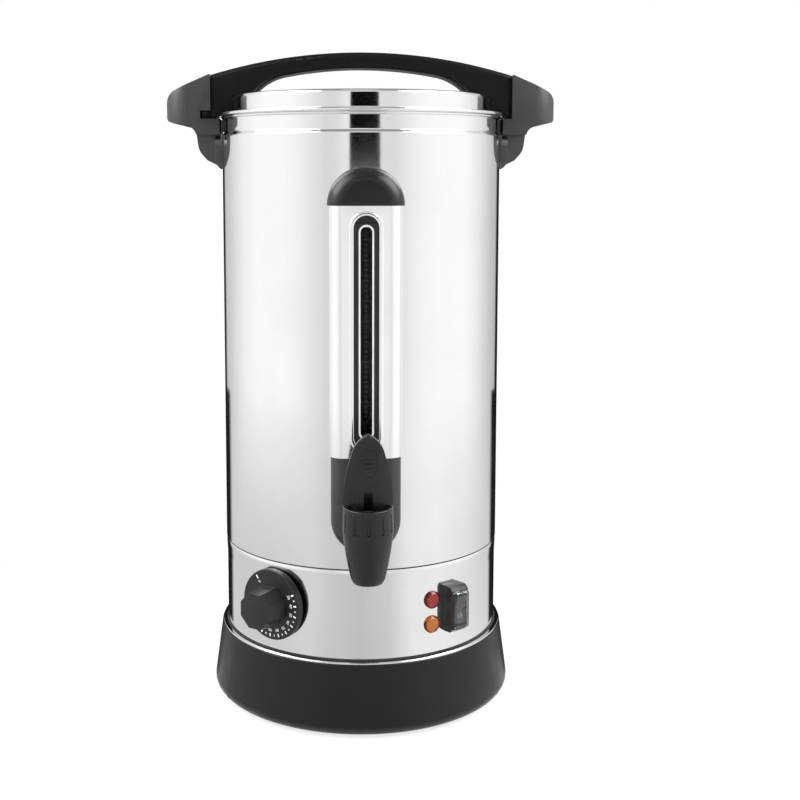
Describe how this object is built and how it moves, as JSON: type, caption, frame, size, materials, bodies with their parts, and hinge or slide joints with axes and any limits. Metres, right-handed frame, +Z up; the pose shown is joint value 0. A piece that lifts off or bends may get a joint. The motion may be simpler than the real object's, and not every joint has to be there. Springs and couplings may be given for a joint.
{
  "type": "hot water urn",
  "caption": "Upright stainless hot water urn with a twist-off lid and bar handle, side handles, sight gauge, pull-down tap, thermostat knob, lamps and a covered switch on a flared base.",
  "frame": {"origin": "on the tank's axis, level with the soles of the feet; the base's rim is 1.5 mm above it", "axes": "+Z up the tank's axis, -Y out through the tap and gauge at the front, +X to the right seen from the front"},
  "size_m": [0.3122, 0.3004, 0.5217],
  "materials": {
    "polished_steel": "mirror polished stainless sheet",
    "plain_steel": "plain mill finish",
    "zinc_screw": "zinc plated",
    "black_plastic": "satin moulded plastic",
    "dial_plastic": "smooth moulded plastic, printed dial",
    "black_rubber": "matt rubber",
    "seal_silicone": "translucent grey silicone",
    "clear_boot": "clear flexible cover",
    "tube_glass": "clear glass",
    "red_lens": "translucent red lens",
    "amber_lens": "translucent amber lens",
    "heater_aluminium": "cast aluminium",
    "element_sheath": "dull metal sheath",
    "bakelite": "brown control body",
    "pin_brass": "nickel-brass pins",
    "bulb_copper": "copper bulb",
    "spring_steel": "spring wire"
  },
  "bodies": {
    "urn": {"amber_lens": "amber_lens", "base_plate": "plain_steel", "base_screws": "zinc_screw", "base_skirt": "black_plastic", "cap_screw": "zinc_screw", "capillary_bulb": "bulb_copper", "control_skirt": "polished_steel", "feet": "black_rubber", "gauge_cap": "black_plastic", "gauge_cover": "polished_steel", "gauge_housing": "black_plastic", "gauge_tube": "tube_glass", "handle_screws": "zinc_screw", "handle_washers": "plain_steel", "heater_plate": "heater_aluminium", "heating_element": "element_sheath", "inlet_pins": "pin_brass", "inlet_screws": "zinc_screw", "lamp_bodies": "black_plastic", "power_inlet": "black_plastic", "red_lens": "red_lens", "scale_panel": "black_plastic", "side_handle_left": "black_plastic", "side_handle_right": "black_plastic", "switch_cover": "clear_boot", "switch_housing": "black_plastic", "tank_bottom": "plain_steel", "tank_shell": "polished_steel", "tap_body": "black_plastic", "tap_bonnet": "black_plastic", "tap_nut": "plain_steel", "tap_seal": "seal_silicone", "tap_spring": "spring_steel", "thermal_cutout": "bakelite", "thermostat_body": "bakelite", "thermostat_screws": "zinc_screw", "tube_seals": "seal_silicone"},
    "seal": {"lid_seal": "seal_silicone"},
    "lid": {"lid_pan": "polished_steel", "lid_handle": "black_plastic", "lid_handle_screws": "zinc_screw"},
    "knob": {"thermostat_knob": "dial_plastic", "thermostat_shaft": "plain_steel"},
    "rocker": {"switch_rocker": "black_plastic"},
    "lever": {"tap_lever": "black_plastic"},
    "valve": {"valve_stem": "plain_steel", "seat_cup": "black_rubber"},
    "reset": {"reset_button": "black_plastic"}
  },
  "joints": [
    {"name": "lid_lift", "type": "slide", "parent": "urn", "child": "seal", "axis": [0, 0, 1], "range_m": [0, 0.25]},
    {"name": "lid_turn", "type": "hinge", "parent": "seal", "child": "lid", "pos_m": [0, 0, 0.4727], "axis": [0, 0, 1], "range_deg": [0, 28]},
    {"name": "thermostat_turn", "type": "hinge", "parent": "urn", "child": "knob", "pos_m": [-0.06822, -0.08794, 0.0962], "axis": [0.6129, 0.7902, 0], "range_deg": [0, 270]},
    {"name": "switch_rock", "type": "hinge", "parent": "urn", "child": "rocker", "pos_m": [0.07237, -0.09534, 0.0924], "axis": [-0.7965, -0.6046, 0], "range_deg": [0, 12]},
    {"name": "lever_tilt", "type": "hinge", "parent": "urn", "child": "lever", "pos_m": [0, -0.166, 0.1803], "axis": [1, 0, 0], "range_deg": [0, 25], "stiffness_Nm_per_rad": 0.3, "springref_deg": -11.46},
    {"name": "valve_lift", "type": "slide", "parent": "urn", "child": "valve", "axis": [0, 0, 1], "range_m": [0, 0.0032], "deforming": ["tap_spring"]},
    {"name": "reset_press", "type": "slide", "parent": "urn", "child": "reset", "axis": [0, 0, 1], "range_m": [0, 0.0015], "stiffness_N_per_m": 300, "springref_m": -0.002}
  ],
  "couplings": [
    {"joint": "lever_tilt", "follows": "valve_lift", "rad_per_m": 135.57}
  ]
}
